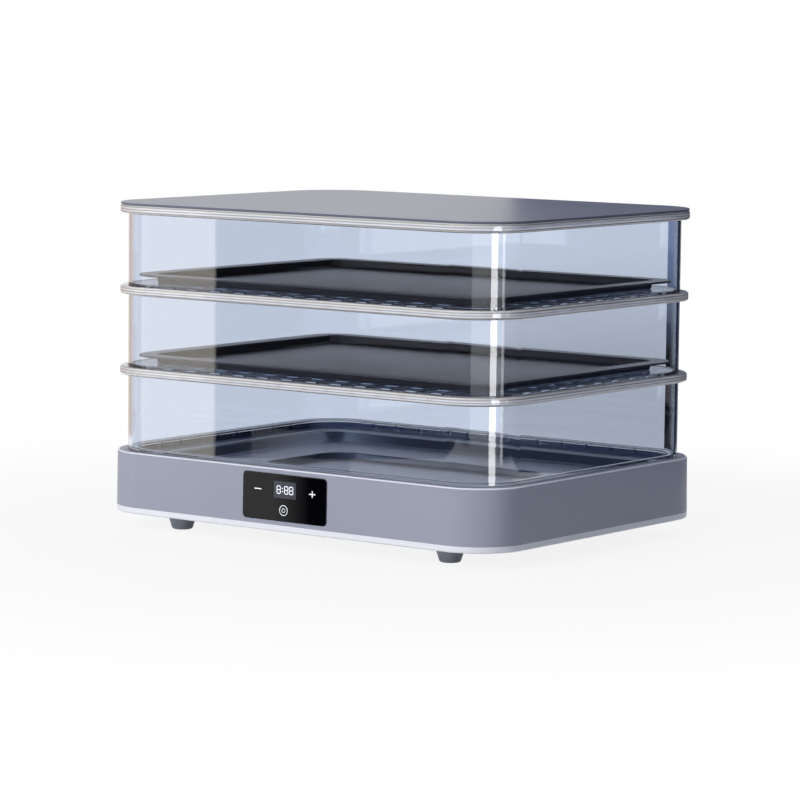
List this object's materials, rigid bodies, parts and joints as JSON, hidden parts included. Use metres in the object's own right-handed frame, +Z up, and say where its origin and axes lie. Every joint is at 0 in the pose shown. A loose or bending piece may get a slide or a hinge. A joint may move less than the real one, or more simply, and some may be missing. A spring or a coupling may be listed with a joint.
{
  "type": "dough proofer",
  "caption": "Table-top dough proofer: heated base with glass touch panel, clear stacking tiers, non-stick baking trays and a flat lid.",
  "frame": {"origin": "on the table, under the middle of the base", "axes": "+Z up, -Y towards the front with the control panel, +X to the right when seen from the front"},
  "size_m": [0.46, 0.3575, 0.3084],
  "materials": {
    "housing_plastic": "satin",
    "cover_plastic": "satin",
    "lid_plastic": "satin",
    "clear_plastic": "clear",
    "foot_rubber": "matte",
    "pan_metal": "coated",
    "seal_silicone": "matte",
    "heater_foil": "foil",
    "insulation": "felt",
    "black_resin": "satin",
    "cutout_metal": "plain",
    "panel_glass": "polished black",
    "circuit_board": "solder mask",
    "transformer_tape": "taped",
    "relay_case": "satin",
    "terminal_green": "satin",
    "pin_brass": "bright",
    "tray_coating": "non-stick coating"
  },
  "bodies": {
    "base": {"base_housing": "housing_plastic", "bottom_cover": "cover_plastic", "foot_front_left": "foot_rubber", "foot_front_right": "foot_rubber", "foot_rear_left": "foot_rubber", "foot_rear_right": "foot_rubber", "pan_rim": "pan_metal", "pan_floor": "pan_metal", "well_rim": "pan_metal", "well_floor": "pan_metal", "pan_seal": "seal_silicone", "heating_element": "heater_foil", "insulation_pad": "insulation", "temperature_sensor": "black_resin", "thermal_cutout": "cutout_metal", "control_panel": "panel_glass", "display_module": "black_resin", "touch_pads": "seal_silicone", "control_board": "circuit_board", "power_board": "circuit_board", "power_transformer": "transformer_tape", "heater_relay": "relay_case", "smoothing_capacitor": "cutout_metal", "terminal_block": "terminal_green", "mains_inlet": "black_resin", "inlet_pins": "pin_brass"},
    "lower_tier": {"lower_tier": "clear_plastic"},
    "middle_tier": {"middle_tier": "clear_plastic"},
    "upper_tier": {"upper_tier": "clear_plastic"},
    "lower_tray": {"lower_tray": "tray_coating"},
    "upper_tray": {"upper_tray": "tray_coating"},
    "lid": {"lid_plate": "lid_plastic", "lid_frame": "clear_plastic"}
  },
  "joints": [
    {"name": "lower_tier_lift", "type": "slide", "parent": "base", "child": "lower_tier", "axis": [0, 0, 1], "range_m": [0, 0.12]},
    {"name": "middle_tier_lift", "type": "slide", "parent": "lower_tier", "child": "middle_tier", "axis": [0, 0, 1], "range_m": [0, 0.12]},
    {"name": "upper_tier_lift", "type": "slide", "parent": "middle_tier", "child": "upper_tier", "axis": [0, 0, 1], "range_m": [0, 0.12]},
    {"name": "lid_lift", "type": "slide", "parent": "upper_tier", "child": "lid", "axis": [0, 0, 1], "range_m": [0, 0.12]},
    {"name": "lower_tray_lift", "type": "slide", "parent": "middle_tier", "child": "lower_tray", "axis": [0, 0, 1], "range_m": [0, 0.05]},
    {"name": "upper_tray_lift", "type": "slide", "parent": "upper_tier", "child": "upper_tray", "axis": [0, 0, 1], "range_m": [0, 0.05]}
  ]
}
